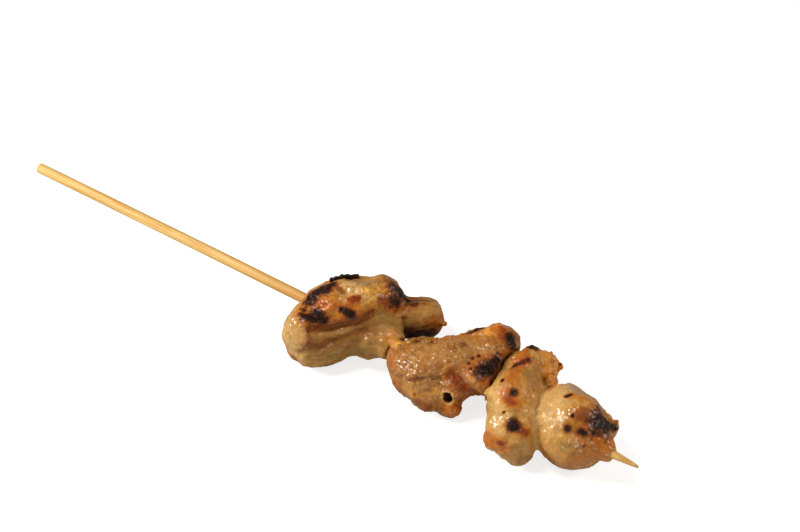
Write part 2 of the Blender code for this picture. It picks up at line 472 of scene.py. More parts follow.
def roast_with_underside_shade(meat, flesh, seed):
    """The colours that the whole chunk takes before any single place is painted.

    Pink, olive and cream drift over it in lumps of 1.5 to 4.5 mm. The far side is glazed gold
    and brown, and towards the bottom a darker brown is painted shade."""
    home = meat["home"]
    meat["colours"][:] = colour(TONES[flesh])[:3]
    glaze(meat, "pink", 0.3 * smooth_step(0.0, 0.6, lumpy(home, 2.4, 3, seed)))
    glaze(meat, "olive", 0.6 * smooth_step(-0.1, 0.5, lumpy(home, 4.5, 2, seed + 2)))
    glaze(meat, "cream", 0.25 * smooth_step(0.1, 0.6, lumpy(home, 1.5, 3, seed + 4)))
    far = smooth_step(6, 12, home[:, 1] + 0.3 * home[:, 2] - 6 + 2 * lumpy(home, 5, 2, seed + 6))
    glaze(meat, "gold", 0.5 * far)
    glaze(meat, "brown", 0.6 * far * smooth_step(0.0, 0.5, lumpy(home, 3.5, 3, seed + 8)))
    # Darker brown towards the bottom is painted shade under the chunk.
    glaze(meat, "brown", 0.5 * smooth_step(3.0, 0.5, home[:, 2] + lumpy(home, 3, 2, seed + 9)))


def keep_paint(meat):
    """Writes the painted fields onto the mesh as attributes for the material to read.

    A dry crust holds less of the wet film."""
    mesh = meat["skin"].data
    rgba = np.ones((len(meat["colours"]), 4), dtype=np.float32)
    rgba[:, :3] = meat["colours"]
    browning_with_painted_shade_and_light = mesh.color_attributes.new("browning_with_painted_shade_and_light", "FLOAT_COLOR", "POINT")
    browning_with_painted_shade_and_light.data.foreach_set("color", rgba.ravel())
    meat["wet"] *= 1 - 0.6 * meat["char"]
    for name in ("char", "wet"):
        values = np.clip(meat[name], 0, 1).astype(np.float32)
        mesh.attributes.new(name, "FLOAT", "POINT").data.foreach_set("value", values)
        print(f"{mesh.name}: {name} covers {100 * values.mean():.1f}%")


print(len(TONES), "tones:", ", ".join(TONES))

# %% [markdown]
# ## Grilled chicken
#
# Cooked chicken is pale muscle that lets some light in, under a thin wet film of juice and fat. It
# could be one glossy colour, but then it looks like clay. So the shader has a little subsurface
# scattering, in which red light travels furthest, and keeps the meat's own shine low. A clear coat
# lies over it where the meat is wet, as smooth as fat is. Dimples a millimetre across, and the
# wrinkles on the mesh itself, break the coat's shine into small sparks. Char is a dry crust of
# carbon, nearly black, with a scorched brown edge that frays into specks.

# %% Grilled chicken
# Thigh muscle has bundles of fibres 0.3 to 0.5 mm thick, which give the specks and fine bumps. They
# lie in strands of 1 to 1.5 mm, which give the mottling.
SPECK_SIZE, MOTTLE_SIZE, DIMPLE_SIZE = 0.45, 1.3, 1.0
FINE_BUMP_DEPTH, DIMPLE_DEPTH, LIGHT_REACH = 0.06, 0.2, 0.9


def mapped(material, value, start, end, low=0.0, high=1.0):
    """Turns the range from start to end of a value into the range from low to high."""
    made = add_node(
        material,
        "ShaderNodeMapRange",
        {"Value": value, "From Min": start, "From Max": end, "To Min": low, "To Max": high},
        interpolation_type="SMOOTHSTEP",
    )
    return made.outputs["Result"]


def blended(material, share, below, above):
    """Mixes two colours by a share of 0 to 1."""
    made = add_node(material, "ShaderNodeMix", {0: share, 6: below, 7: above}, data_type="RGBA")
    return made.outputs[2]


def speckle(material, place, size, detail=3.0, roughness=0.6):
    """Noise whose lumps are about this many millimetres across."""
    inputs = {"Vector": place, "Scale": 1 / (size * MM), "Detail": detail, "Roughness": roughness}
    return add_node(material, "ShaderNodeTexNoise", inputs).outputs["Fac"]


def grilled_chicken():
    """Scattering flesh with a wet film, which scorches and turns to coal as its char rises."""
    material = empty_material("grilled chicken thigh")
    place = add_node(material, "ShaderNodeTexCoord").outputs["Object"]
    paint = add_node(material, "ShaderNodeAttribute", attribute_name="browning_with_painted_shade_and_light").outputs["Color"]
    char = add_node(material, "ShaderNodeAttribute", attribute_name="char").outputs["Fac"]
    wet = add_node(material, "ShaderNodeAttribute", attribute_name="wet").outputs["Fac"]
    specks = speckle(material, place, SPECK_SIZE)
    mottle = speckle(material, place, MOTTLE_SIZE, 4.0, 0.65)

    light_dark = mapped(material, mottle, 0.35, 0.65, 0.88, 1.14)
    shaded = add_node(
        material, "ShaderNodeVectorMath", {0: paint, "Scale": light_dark}, operation="SCALE"
    ).outputs["Vector"]
    pores = mapped(material, specks, 0.5, 0.35, 0.0, 0.15)
    mottled = blended(material, pores, shaded, colour("#7a3a10"))

    finely_torn = add_node(
        material, "ShaderNodeMath", {0: specks, 1: 1.6, 2: char}, operation="MULTIPLY_ADD"
    ).outputs["Value"]
    torn = add_node(
        material, "ShaderNodeMath", {0: mottle, 1: 0.8, 2: finely_torn}, operation="MULTIPLY_ADD"
    ).outputs["Value"]
    scorch = mapped(material, torn, 1.45, 1.8)
    soot = mapped(material, torn, 1.65, 2.05)
    scorched = blended(material, scorch, mottled, colour("#4f230c"))
    coal = blended(material, mapped(material, specks, 0.4, 0.65), colour("#0f0705"), colour("#3c1c0d"))
    surface = blended(material, soot, scorched, coal)

    dimples = speckle(material, place, DIMPLE_SIZE, 1.0, 0.35)
    fine_bumps = add_node(
        material,
        "ShaderNodeBump",
        {"Height": specks, "Strength": 0.6, "Distance": FINE_BUMP_DEPTH * MM},
    ).outputs["Normal"]
    wet_bumps = add_node(
        material,
        "ShaderNodeBump",
        {"Height": dimples, "Strength": 1.0, "Distance": DIMPLE_DEPTH * MM},
    ).outputs["Normal"]
    film = mapped(material, wet, 0.0, 1.0, 0.05, 1.0)
    shader = add_node(
        material,
        "ShaderNodeBsdfPrincipled",
        {
            "Base Color": surface,
            "Roughness": 0.5,
            "IOR": 1.4,
            "Specular IOR Level": 0.2,
            "Subsurface Weight": 0.2,
            "Subsurface Radius": (1.0, 0.45, 0.2),
            "Subsurface Scale": LIGHT_REACH * MM,
            "Coat Weight": film,
            "Coat Roughness": 0.05,
            "Coat IOR": 1.5,
            "Coat Normal": wet_bumps,
            "Normal": fine_bumps,
        },
    )
    add_node(material, "ShaderNodeOutputMaterial", {"Surface": shader.outputs["BSDF"]})
    return material


chicken = grilled_chicken()
print(f"{chicken.name}: {len(chicken.node_tree.nodes)} nodes")

# %% [markdown]
# ## The chunk at the handle end
#
# This strip of thigh is folded over itself. A browned slab lies on top, with an edge that overhangs
# the pale folds below. The cut end faces left, and a lobe sticks out at the rear. The folds could be
# separate sheets, but the heat has drawn them into one lump, so creases pressed into one skin look
# truer. Each press below is a depth and a reach in millimetres, and then the places that it follows.

# %% Shape the chunk at the handle end
handle_end = fine_skin(
    "chicken_chunk_handle_end",
    "chicken_handle_end",
    lumps=[((117.4, 13.4, 8.9), (0.9, 0.8, 0.7))],
)
grip_stick(handle_end)
for depth, reach, *places in (
    (0.6, 2.5, (88.4, -0.8, 17.6), (90.4, 3, 18.2)),
    (0.6, 2.2, (92, 3, 18.8), (97, 7, 18.6)),
    (0.7, 2.6, (90, -14.3, 7), (91.3, -14.4, 5.5)),
    (0.6, 2.5, (104.5, 12, 17), (107, 12.2, 14.5)),
    (0.5, 2.5, (107.8, 13.4, 12.6), (110, 14.5, 12.4)),
    (0.9, 2.8, (86.6, -6, 14.8), (88, 1, 16.8), (91, 5.6, 17.8), (96.5, 9.3, 18.2)),
    (0.9, 2.0, (94, 7.8, 18.2), (97, 9.6, 18.2)),
    (0.4, 2.2, (102, 14.6, 15.5), (104.5, 13.8, 15.3)),
    (0.5, 2.5, (107.3, 14.9, 12), (110, 17, 11.8), (113, 17.6, 10.7), (115, 17, 8.6)),
    (0.5, 2.5, (86.3, -8, 13.9), (85.8, -10, 12), (86.5, -11.7, 11.2)),
    (-0.4, 1.5, (87.8, -13.2, 9.8)),
    (1.6, 2.2, (88.2, -13.2, 4), (90, -13.8, 3)),
    (0.4, 2.0, (91, -13.6, 2.9), (94.2, -14, 3.3)),
    (0.7, 1.8, (98.6, -10, 2.8), (100, -8.3, 3), (101.5, -6.9, 3.7)),
    (-0.5, 1.8, (103.2, -3.8, 4), (105.3, -2.8, 3.5)),
):
    press(handle_end, depth, reach, *places)
slab_edge = [
    (94.3, -10.7, 14.3),
    (96.6, -7.4, 12.6),
    (99.3, -5, 13.4),
    (101.9, -2.3, 13.5),
    (104.3, 1.5, 14.8),
]
lower_groove = [
    (95.5, -12.2, 10.1),
    (97, -10.6, 9),
    (98.4, -8.3, 9.6),
    (100.1, -6.6, 10.5),
    (104.5, -1.8, 12.1),
]
cut_rim = [
    (94.5, -10.9, 14.4),
    (94.9, -11.6, 13.2),
    (95.5, -12, 11.9),
    (94.9, -12.9, 10),
    (93.6, -13.8, 8.2),
]
crease(handle_end, 0.9, 0.9, *slab_edge, lip=0.7)
crease(handle_end, 1.1, 0.8, *lower_groove, lip=0.2)
crease(handle_end, 1.0, 0.4, *cut_rim, lip=0.35, lip_side=(-1, 0, 0))
crease(handle_end, 0.9, 0.35, (105.5, -2.1, 11.6), (104.3, -3.7, 9.7), (102.9, -5.2, 7.8))
crease(handle_end, 0.6, 0.7, (109.5, 7.5, 10.8), (110.1, 7.1, 9.5), (110.5, 7, 7))

home = handle_end["home"]
slab = patch(home, [(92, -6, 17), (97, -2, 18.5), (103, 3, 17.6), (104, 8, 16.5)], 4.6, 0.4)
cut_end = patch(home, [(90, -12, 13), (91, -13.5, 9.5), (91.5, -14, 7)], 4.0, 0.5)
print(f"handle end: {np.ptp(home[:, 0]):.0f} mm long, {np.ptp(home[:, 2]):.0f} mm high")

# %% Paint the chunk at the handle end
# A stroke is a tone, a strength, a radius in millimetres, and the places that the brush passes.
# A burn is the radius of the char, the width of the scorched halo round it, and its places.
roast_with_underside_shade(handle_end, "flesh", 1.0)
fold_run = fibrous(home, (8, 7, 0.5))
for tone, strength, radius, *places in (
    ("olive", 0.7, 5.0, (99, -8, 9), (103, -3, 10), (107, 2, 12)),
    # Brown along the lower groove is painted shade in the crease.
    ("brown", 0.22, 2.4, (96.5, -11, 10.5), (99, -8, 10.6), (102, -4.5, 11.2), (105, -1, 12)),
    ("cream", 0.7, 3.2, (90.4, -12.6, 12), (91, -13.5, 10), (91.5, -14, 6.5)),
    ("cream", 0.4, 1.2, (96.5, -9.8, 11.6), (99, -7, 12), (102, -4, 12.6)),
    ("cream", 0.9, 2.6, (94, 1.5, 19), (98, 2.5, 18.8), (101, 4.5, 18.5)),
    ("olive", 0.6, 2.4, (99, 7, 18.6), (103, 10, 18.2)),
    ("gold", 0.9, 2.0, (93.5, -9.3, 15.3), (97.5, -5.5, 16), (101.5, -2, 15.5), (104, 1.5, 16)),
    ("gold", 0.8, 1.3, (96, -2, 18.5), (94.5, -3.5, 18.2)),
    ("yellow", 0.6, 1.6, (101.5, 5, 18.4), (104.5, 7, 17.2)),
    ("orange", 0.9, 1.1, (91.5, -5.6, 17.2), (94.8, -4.7, 17.7), (98.2, -3.2, 17.4)),
    ("red", 0.5, 0.4, (92.4, -4.8, 17.5), (95, -4.4, 17.8)),
    ("orange", 0.7, 1.2, (88.6, -8, 15.8), (89, -6.3, 16)),
    ("cream", 0.9, 0.55, (89.7, -2.9, 17.7), (89.8, -4.7, 16.9), (90, -6.2, 16.2)),
    ("brown", 0.8, 0.8, (94.9, -10, 14.2), (97.2, -7, 14), (100, -4.3, 14.6), (104.2, 1.5, 15.6)),
    ("brown", 0.7, 0.7, (94.4, 0.8, 19), (96.4, 0.5, 18.8)),
    ("orange", 0.7, 1.4, (99.5, -0.5, 18.2), (101.5, -1.8, 16.8)),
    ("red", 1.0, 0.8, (99.2, -0.2, 18.3), (100.4, 1.2, 18.3)),
    ("red", 0.9, 1.2, (104.6, 5.4, 16.4), (106, 6.8, 15.3)),
    ("orange", 0.8, 1.4, (107.8, 9, 13), (106.8, 6.8, 13.4)),
    ("orange", 0.4, 1.6, (110.2, -0.9, 11.8), (110.5, 0.5, 12.3)),
    # The neck by the stick is bright yellow, partly painted light where the lamps leave it in shade.
    ("butter", 1.0, 1.5, (112.4, 0.2, 11.2), (112.6, -0.6, 10.2)),
    ("flesh", 0.9, 3.4, (109.5, 8, 11.5), (112.5, 13, 12), (114, 15, 11.4)),
    ("orange", 0.6, 2.4, (116.5, 11.6, 9.6), (117, 13, 8)),
    # Olive along the crease between the body and the rear lobe is painted shade in the crease.
    ("olive", 0.9, 0.6, (109.5, 7.5, 10.8), (110.5, 7, 7)),
):
    brush(handle_end, tone, radius, *places, strength=strength)
# Brown along the cut rim, the slab's overhanging edge and the lower groove is painted shade in these
# creases.
brush(handle_end, "brown", 0.5, *cut_rim, strength=0.35, ragged=0.9)
brush(handle_end, "brown", 0.8, *slab_edge, strength=0.4, ragged=0.6)
brush(handle_end, "brown", 0.7, *lower_groove, strength=0.3, ragged=0.6)
# Dark under the rear lobe is painted shade where the lobe overhangs the table.
brush(handle_end, "dark", 2.8, (111.5, 8.3, 4.8), (115.5, 9.5, 5), strength=0.95)
brush(handle_end, "dark", 0.35, (109.2, 14.4, 12.6), (112, 15.6, 12.4), strength=0.8)
for radius, halo, *places in (
    (1.6, 0.8, (90.1, -4.4, 17), (90.6, -2, 18), (91.6, 1.2, 18.6)),
    (0.9, 0.5, (92.6, -1.5, 18.7)),
    (0.75, 0.6, (91.9, -9.6, 16), (93.3, -9, 15.6), (95, -7.6, 15.3), (96.2, -6.9, 15.2)),
    (0.95, 0.5, (93.7, -6.9, 16.2), (94.7, -7, 15.9)),
    (0.3, 0.2, (90, -7.8, 16.1)),
    (0.3, 0.2, (91, -7.9, 16.2)),
    (0.4, 0.4, (98.4, -3.3, 17.1), (99.4, -2.9, 16.8)),
    (0.8, 0.5, (99.7, -2.8, 16.6), (101, -2.3, 15.8)),
    (1.3, 1.3, (105.4, 10.6, 16.8), (106.6, 11.4, 15.2), (107.6, 12, 13.8)),
    (0.8, 1.0, (106, 7.4, 15.2), (107, 8.6, 14.4)),
):
    burn(handle_end, radius, *places, halo=halo, ragged=0.9)
handle_end["wet"] = 0.3 + 0.7 * patch(home, [(97, 2, 19), (101, 5, 18.5), (104, 9, 17.5)], 3.0, 1.0)
handle_end["wet"] += 0.3 * cut_end + 0.5 * patch(home, [(95, -4.7, 17.6), (98, -3, 17.5)], 1.5)
print(f"burnt black: {100 * np.mean(handle_end['char'] > 0.5):.1f}% of the points")

# %% Wrinkle the chunk at the handle end and finish it
heights = 0.2 * lumpy(home, 3.0, 3, 1.0)
heights += slab * (0.12 * (wrinkled(home, 1.4, 4.0) - 0.5) + 0.22 * lumpy(home, 1.5, 2, 7.0))
fibres = lumpy(fold_run, 0.9, 2, 8.0)
heights += 0.1 * (1 - slab) * (1 - cut_end) * fibres
glaze(handle_end, "brown", 0.12 * (1 - cut_end) * smooth_step(0.0, -0.4, fibres))
heights += 0.12 * cut_end * lumpy(home, 0.85, 2, 9.0)
heights += 0.3 * patch(home, [(99, 4, 19), (103.5, 7.5, 18)], 2.6, 1.0) * lumpy(home, 1.3, 2, 10.0)
heights += handle_end["char"] * (0.28 * blistered(home, 0.8, 5.0) - 0.05)
print(f"relief from {heights.min():.2f} to {heights.max():.2f} mm")
swell(handle_end, heights)
keep_paint(handle_end)
finish_piece(handle_end["skin"], "chicken_handle_end", chicken)

# %% [markdown]
# ## The middle chunk
#
# This one shows its skin side: brown, drawn into fine wrinkles and glossy with fat. A small knob with
# a burst bubble hangs off its near side, and the heat has blackened it where it touched the bars.
# The wrinkles could be a bump in the material alone, but then the outline would stay smooth, so they
# are raised on the mesh.

# %% Shape the middle chunk
middle = fine_skin("chicken_chunk_middle", "chicken_middle")
grip_stick(middle)
for depth, reach, *places in (
    (1.2, 2.6, (121.5, 5.2, 13.8), (124, 6.8, 14.7), (126, 9.5, 14.3)),
    (0.9, 2.8, (116, -8.4, 7.5), (118.4, -9.2, 5), (120.3, -9.6, 4.4), (122, -10, 4.6)),
    (-0.5, 1.8, (127, -7.8, 4.6), (128.2, -6.8, 4.2)),
    (0.9, 1.8, (134.3, -2.9, 6.6), (136.2, -2.3, 7.6), (138.4, -1.8, 8.2)),
    (-0.4, 1.0, (132.4, 15, 15.1)),
    (1.2, 2.6, (115.3, -1, 14), (116.5, 3, 13.7), (118.8, 5.2, 13)),
    (2.6, 2.2, (113.0, 2.2, 13), (114.8, 3.9, 13.2)),
    (1.9, 2.0, (116.4, 5.2, 13), (117.2, 5.8, 12.6)),
    (-0.3, 1.6, (121, 8, 12.8)),
    (0.4, 2.4, (112.4, -4.5, 8.8), (112.8, -5.2, 7.5)),
    (0.9, 2.2, (120.6, 7, 12.6), (122.6, 9.2, 13)),
    (-0.4, 1.5, (126.9, 12.4, 13.2)),
    (0.9, 1.8, (128.2, 14.8, 14), (129.4, 16.6, 13.9)),
    (0.6, 1.8, (134.9, 17.8, 13.8), (135.6, 18.3, 12.4)),
    (-0.4, 1.2, (136.6, 16.9, 12)),
    (0.9, 2.0, (118.5, -8.4, 3.2), (121, -8.8, 3.4), (123.4, -9.8, 3.6)),
    (-0.8, 1.8, (127.3, -8, 4), (127.4, -6.4, 2.2), (129.2, -6, 2.7)),
    (-0.4, 1.5, (131.8, -5.7, 1.9), (133.5, -4.1, 3.4)),
    (0.7, 1.5, (133.5, -2.6, 5.1), (134.5, -1.6, 6)),
    (0.7, 1.3, (136.6, -0.9, 7.2), (138.3, -0.8, 7.6)),
):
    press(middle, depth, reach, *places)
step = [(121.6, -8.2, 10.2), (123.3, -7.3, 11.1), (125, -6, 11.3), (127.4, -3.8, 10.6)]
crease(middle, 0.8, 0.5, *step, lip=0.5)
crease(middle, 0.7, 0.4, (125.2, -8, 8.2), (126.6, -6.6, 8.6), (127.5, -5.6, 9.3))
crease(middle, 0.8, 0.4, (129.2, -4.6, 9.6), (131, -4.4, 9.2), (133.4, -3.2, 9.4))

home = middle["home"]
bubble = [(130.8, -5.2, 6.9), (130.8, -5.2, 7.6)]
print(f"middle: {np.ptp(home[:, 0]):.0f} mm long, {np.ptp(home[:, 2]):.0f} mm high")

# %% Paint the middle chunk
roast_with_underside_shade(middle, "skin", 21.0)
pores = lumpy(home, 0.7, 2, 33.0)
glaze(middle, "flesh", 0.5 * smooth_step(0.0, 0.5, pores))
glaze(middle, "brown", 0.25 * smooth_step(-0.1, -0.6, pores))
glaze(middle, "brown", 0.4 * smooth_step(0.15, 0.5, lumpy(home, 0.5, 2, 35.0)))
for tone, strength, radius, *places in (
    ("flesh", 0.25, 3.5, (116.5, -5, 12.5), (121, -5, 13), (124, -4.5, 13)),
    ("orange", 0.5, 1.4, (115.6, -5.6, 11), (115.8, -7, 9.5), (118, -8.6, 6)),
    ("flesh", 0.6, 4.5, (123, 0, 14), (127, 4, 14.5)),
    ("flesh", 0.7, 3.0, (122.4, -8.4, 9.6), (126.2, -7.4, 8.6)),
    ("yellow", 0.4, 0.8, (120.3, -8.8, 7.1), (122.5, -9.1, 7.3), (124.4, -9.2, 7.1)),
    ("yellow", 0.4, 0.9, (127.5, -5.6, 8.8), (128.6, -5.6, 7.2)),
    ("red", 0.7, 0.45, (123.6, -9.1, 7.6)),
    # The neck by the stick is bright yellow, partly painted light where the lamps leave it in shade.
    ("butter", 1.0, 2.0, (113.2, 0, 11), (114.0, 1.0, 11.4)),
    ("brown", 0.6, 1.1, (124.8, -9.4, 5.6), (126.8, -8.4, 4.8)),
    # Brown under the step's lip is painted shade in the crease.
    ("brown", 0.5, 0.6, (121.8, -8, 10.2), (123.4, -7.2, 11), (124.4, -6.4, 11.2)),
    ("gold", 0.7, 2.6, (126.5, 9, 14.2), (131, 12, 14.9)),
    # Bright orange on the cap, partly a painted highlight.
    ("glow", 1.0, 1.8, (130.6, 13.2, 15.1), (132.6, 15, 15.1)),
    ("orange", 0.8, 1.4, (131.6, 14.2, 15.1), (133.4, 14.6, 15)),
    ("red", 0.7, 1.1, (133.4, 14.8, 15), (134.6, 13.1, 14.7)),
    ("brown", 0.8, 1.4, (129.6, -2.2, 11.8), (131.6, -2.4, 11.4), (133.2, -2.5, 11)),
    ("red", 0.6, 0.9, (130, -2.2, 11.7), (131.2, -2.4, 11.4)),
    ("red", 0.7, 1.0, (133.6, -2.5, 10.8), (135.4, -2.4, 10)),
    ("brown", 0.7, 0.9, (128, 5.8, 14.5)),
    ("brown", 0.7, 0.9, (126.6, 2.9, 15)),
    ("pink", 0.8, 0.4, (126.6, 2.9, 15)),
    ("cream", 0.8, 1.1, (133.8, -0.2, 13.3), (134.6, -0.7, 12.8)),
    ("flesh", 0.7, 1.8, (130.5, 6.5, 14), (134, 7.6, 13.8)),
    ("orange", 0.7, 1.0, (137, -0.6, 12.8), (138.8, 1.4, 12)),
    ("orange", 0.8, 2.2, (131.8, -5, 5.2), (132.6, -4.6, 4)),
    ("flesh", 0.6, 1.4, (129, -6.4, 5.5), (128.6, -6, 6.6)),
    # The cream streak left of the bubble is a painted highlight on its rim.
    ("cream", 0.8, 0.5, (129.2, -6, 6), (129, -5.8, 7.6)),
    ("red", 0.8, 0.8, (136.6, 8.8, 12.4)),
):
    brush(middle, tone, radius, *places, strength=strength, ragged=0.5)
for radius, halo, *places in (
    (1.75, 0.7, (135.9, 1.9, 13.7), (136.7, 2.8, 13.5)),
    (1.1, 0.5, (136.4, 3.8, 13.4), (136.8, 6.2, 13.2), (136.8, 7.6, 12.9)),
    (1.15, 0.7, (136, 14, 14.3), (136.9, 13.2, 13.5)),
    (0.5, 0.3, (126.2, 11.4, 13.9), (127.5, 12.3, 14), (128.6, 12.8, 14.3)),
):
    burn(middle, radius, *places, halo=halo, ragged=0.5)
for speck in (
    (131.8, 3.9, 13.7),
    (132.7, 5.1, 13.9),
    (131.8, 2.2, 13.2),
    (133.1, 0.9, 13.4),
    (134.5, 0.6, 13.6),
):
    burn(middle, 0.3, speck, halo=0.3)
brush(middle, "cream", 1.7, *bubble, strength=1.0, soft=0.6, ragged=0.15)
brush(middle, "dark", 1.2, *bubble, strength=0.9, soft=0.3, ragged=0.1)
middle["char"] = np.maximum(middle["char"], patch(home, bubble, 1.05, 0.5))
shoulder_shine = [(116.5, -6.8, 11.8), (120, -6.8, 12.4), (124, -5.8, 12.8)]
middle["wet"] = 0.55 + 0.45 * patch(home, shoulder_shine, 2.2, 1.0)
middle["wet"] += 0.45 * patch(home, [(129, 6, 14.2), (132, 6, 13.8), (135, 8, 13.4)], 2.5, 1.0)
middle["wet"] -= 0.35 * patch(home, [(129.6, -2.2, 11.8), (133.2, -2.5, 11)], 1.8, 1.0)
print(f"burnt black: {100 * np.mean(middle['char'] > 0.5):.1f}% of the points")

# %% Wrinkle the middle chunk and finish it
heights = 0.2 * lumpy(home, 2.6, 3, 21.0)
heights += 0.14 * (wrinkled(home, 1.4, 24.0) - 0.5)
heights += (0.1 + 0.12 * smooth_step(6, 10, home[:, 2])) * lumpy(home, 1.5, 2, 27.0)
heights += 0.04 * pores
heights += middle["char"] * (0.2 * blistered(home, 0.8, 25.0) - 0.05)
heights += 0.4 * patch(home, bubble, 1.6, 0.5) - 1.7 * patch(home, bubble, 1.1, 0.5)
print(f"relief from {heights.min():.2f} to {heights.max():.2f} mm")
swell(middle, heights)
keep_paint(middle)
finish_piece(middle["skin"], "chicken_middle", chicken)

# %% [markdown]
# ## The chunk at the tip end
#
# The last chunk is the juiciest: an upright fold with a ragged fringe, pressed against a smooth round
# ball. It is golden, with small burnt spots and one large one towards the point. The fringe could be
# cut out tooth by tooth, but meat tears by chance, so a few small lumps are joined on and roughened.

# %% Shape the chunk at the tip end
tip_end = fine_skin(
    "chicken_chunk_tip_end",
    "chicken_tip_end",
    lumps=[
        ((142.5, 13.6, 15.1), (1.2, 1.0, 0.7)),
        ((170.8, 5.7, 12), (0.8, 0.8, 0.8)),
        ((145.6, 14.2, 12.6), (1.8, 2.4, 1.6)),
        ((147.6, 13.2, 10.9), (1.6, 2.8, 1.5)),
        ((149.2, 12, 9.8), (1.3, 2.2, 1.4)),
    ],
)
grip_stick(tip_end)
for depth, reach, *places in (
    (0.5, 1.6, (144.5, 17.4, 12.2), (146.1, 17.6, 11.6)),
    (1.3, 1.8, (153.3, 8.8, 14.5), (151.5, 11, 11.5)),
    (1.2, 3.0, (161.2, 7.2, 18), (164, 7.4, 17.2), (167, 7.6, 14.6)),
    (0.5, 1.8, (167.6, 6.5, 15.1), (169.4, 7.2, 14.2)),
    (1.2, 2.0, (139.2, 7, 13.8), (138.6, 10, 13.8), (139, 12.8, 14)),
    (0.8, 1.5, (139.5, 13.9, 13.9), (140.2, 14.5, 14.2)),
    (0.8, 1.5, (142.9, 17.8, 12), (143.6, 18.5, 11.4)),
    (0.7, 1.4, (146.1, 18.8, 11.1), (146.9, 18.6, 10.7)),
    (-0.6, 1.2, (147.8, 16.7, 10.5), (148.5, 16.5, 10)),
    (1.0, 1.7, (150.1, 14.9, 8.7), (150.9, 13.2, 8.8)),
    (-0.6, 1.5, (154.8, 7, 15.2)),
    (0.5, 2.2, (155, 9.8, 14.3), (158.5, 9, 16)),
    (1.6, 3.0, (162, 9.5, 15.6), (164.7, 9.9, 14.2), (166.8, 10.2, 12), (168.8, 8.8, 12.8)),
    (0.6, 2.0, (169.8, 8.4, 13), (170.6, 8, 12.5)),
    (-0.3, 2.5, (142, -5.4, 10.2), (143.3, -6.8, 10.5), (144.1, -8.6, 10.8)),
    (1.0, 2.2, (138.6, 9, 13.8), (139.2, 5, 14.4), (140, 0, 15)),
    (-0.7, 1.6, (151.6, 3, 14.4), (152, 0, 14), (152.6, -3, 13.4)),
    (1.2, 2.4, (160.6, 11, 14), (162.6, 11.5, 13), (164, 11.4, 11.6)),
    (0.6, 1.3, (140.2, -3.2, 10)),
):
    press(tip_end, depth, reach, *places)
crease(tip_end, 0.9, 0.5, (153.9, -4.8, 13.4), (155.8, -6.8, 10.5), (156.3, -6.5, 7.7))

home = tip_end["home"]
fringe_line = [(143.5, 17.4, 11.8), (147, 17, 10.8), (149, 14.5, 9.8), (150.4, 11.8, 9.8)]
fringe = patch(home, fringe_line, 2.2, 0.8)
print(f"tip end: {np.ptp(home[:, 0]):.0f} mm long, {np.ptp(home[:, 2]):.0f} mm high")

# %% Paint the chunk at the tip end
roast_with_underside_shade(tip_end, "honey", 41.0)
for tone, strength, radius, *places in (
    ("cream", 0.8, 3.2, (143, -2, 14), (146, -7.2, 14), (148, -10, 13)),
    ("cream", 0.8, 3.8, (154, 0, 13), (156, 2, 16), (158, -3, 15.5), (160, 2, 18)),
    ("gold", 0.8, 2.4, (141.2, 8, 15), (143.8, 4, 16.5), (145.4, -0.5, 16.6)),
    ("orange", 0.8, 1.3, (141, 9.5, 15.4), (143.5, 5.6, 16), (144.4, 1, 17)),
    ("orange", 0.9, 1.1, (139.8, 7, 14.6), (141, 10, 15.2), (142, 12, 15.8)),
    ("cream", 0.8, 1.0, (143.2, 12.8, 15.7), (144.6, 11.4, 15)),
    ("gold", 0.8, 2.6, (145.5, 14.6, 13.4), (148, 13, 11.8), (149.6, 11.8, 10.6)),
    # The fringe is bright orange, partly painted light where the fold shades it.
    ("glow", 1.0, 1.9, (144, 17.8, 11.6), (147.4, 17, 10.6), (149.2, 14.5, 9.8), (150.4, 11.8, 9.6)),
    ("glow", 0.9, 1.6, (145, 14.2, 13.6), (146.6, 13.4, 13), (148, 12, 12.2)),
    ("brown", 0.5, 1.0, (151.6, 6.6, 13.6), (152.6, 5.6, 14.4)),
    ("gold", 0.7, 2.2, (147.5, 8, 14), (149, 3, 15.4), (150.4, -1, 15)),
    # Cream in the valley between fold and ball: partly its pale colour, partly painted light against the
    # valley's shade.
    ("cream", 0.6, 1.6, (152.2, 2, 14.2), (152.6, -2, 13.8), (154, -5, 12.5)),
    ("orange", 0.7, 1.8, (145.4, -2.6, 15.9), (148.8, -4.6, 15.9)),
    ("red", 0.7, 1.0, (146.4, -3.4, 15.6), (148.4, -4.6, 15.9)),
    ("orange", 0.7, 1.4, (153, -8.6, 13.5), (154.6, -8, 12.3)),
    ("red", 0.7, 0.8, (153.4, -8.6, 13.3), (154.4, -8, 12.5)),
    ("orange", 0.8, 2.4, (143.6, -9.2, 5.4), (146.8, -11.8, 8.6), (150, -12.2, 9)),
    ("red", 0.8, 0.95, (149.9, -12.3, 10.2)),
    ("orange", 0.6, 1.6, (160.5, 3.4, 19.1), (162.8, 4, 19)),
    ("cream", 0.6, 0.9, (163.6, 2.4, 18.9), (164.6, 3.4, 18.6)),
    ("gold", 0.9, 2.6, (163.8, -0.9, 18), (166.5, -1.5, 16.5), (168, -3, 14)),
    ("brown", 0.8, 1.5, (164.2, -0.6, 18.1), (166.4, 0.6, 17.4)),
    ("orange", 0.6, 3.2, (168.6, -3, 11.5), (170.6, -0.5, 11.5), (168, -5, 9)),
    ("olive", 0.4, 1.6, (158, -6.4, 7.5), (162, -7.6, 6.6)),
    ("honey", 0.7, 2.6, (158, -6, 10.5), (163, -7.4, 9.4)),
    ("orange", 0.5, 2.4, (160, -7.2, 5), (165, -7, 6.4)),
    # Dark where this chunk meets the middle one is painted shade in the gap between the pieces.
    ("dark", 0.9, 0.6, (140.4, 2.2, 14), (139.8, 4, 13.6)),
):
    brush(tip_end, tone, radius, *places, strength=strength, ragged=0.5)

